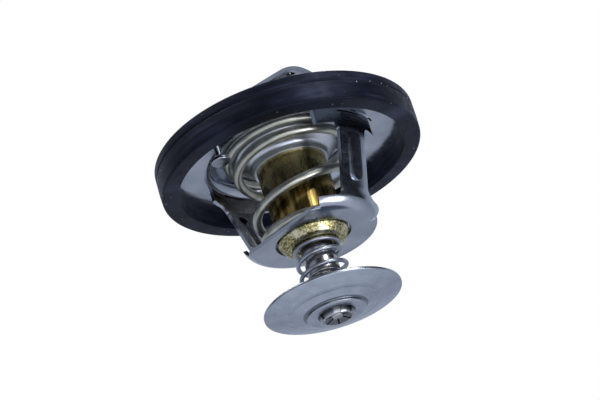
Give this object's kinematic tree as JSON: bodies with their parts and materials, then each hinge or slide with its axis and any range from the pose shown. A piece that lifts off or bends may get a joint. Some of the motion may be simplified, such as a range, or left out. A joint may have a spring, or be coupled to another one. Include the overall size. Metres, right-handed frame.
{
  "type": "engine thermostat",
  "caption": "Round wax-element coolant valve with a rubber edge ring, a bridge over the opening, a coil-sprung dish and a sprung bypass disc on a stem.",
  "frame": {"origin": "centre of the rubber ring's upper face", "axes": "+Z along the valve's axis towards the bridge and the hot outlet; the two legs stand on +X and -X"},
  "size_m": [0.067, 0.067, 0.0649],
  "materials": {
    "stainless_sheet": "pressed, bright",
    "black_rubber": "matt, moulded",
    "brass": "drawn, stained",
    "wax": "matt",
    "hard_plastic": "satin",
    "polished_steel": "turned, bright",
    "spring_wire": "drawn wire"
  },
  "bodies": {
    "frame": {"flange": "stainless_sheet", "seal_ring": "black_rubber", "lower_frame": "stainless_sheet", "piston": "polished_steel", "thrust_disc": "hard_plastic", "rubber_plug": "black_rubber", "main_spring": "spring_wire"},
    "element": {"wax_case": "brass", "piston_guide": "brass", "rubber_boot": "black_rubber", "wax_charge": "wax", "wiper_seal": "black_rubber", "main_valve": "stainless_sheet", "bypass_stem": "polished_steel", "stem_clip": "stainless_sheet", "bypass_spring": "spring_wire"},
    "bypass_valve": {"bypass_disc": "stainless_sheet"},
    "vent": {"vent_pin": "polished_steel", "vent_cap": "polished_steel"}
  },
  "joints": [
    {"name": "element_opening", "type": "slide", "parent": "frame", "child": "element", "axis": [0, 0, -1], "range_m": [0, 0.008], "stiffness_N_per_m": 6000, "springref_m": -0.015, "deforming": ["main_spring"]},
    {"name": "bypass_overtravel", "type": "slide", "parent": "element", "child": "bypass_valve", "axis": [0, 0, 1], "range_m": [0, 0.006], "stiffness_N_per_m": 800, "springref_m": -0.006, "deforming": ["bypass_spring"]},
    {"name": "vent_lift", "type": "slide", "parent": "frame", "child": "vent", "axis": [0, 0, 1], "range_m": [0, 0.003]}
  ]
}
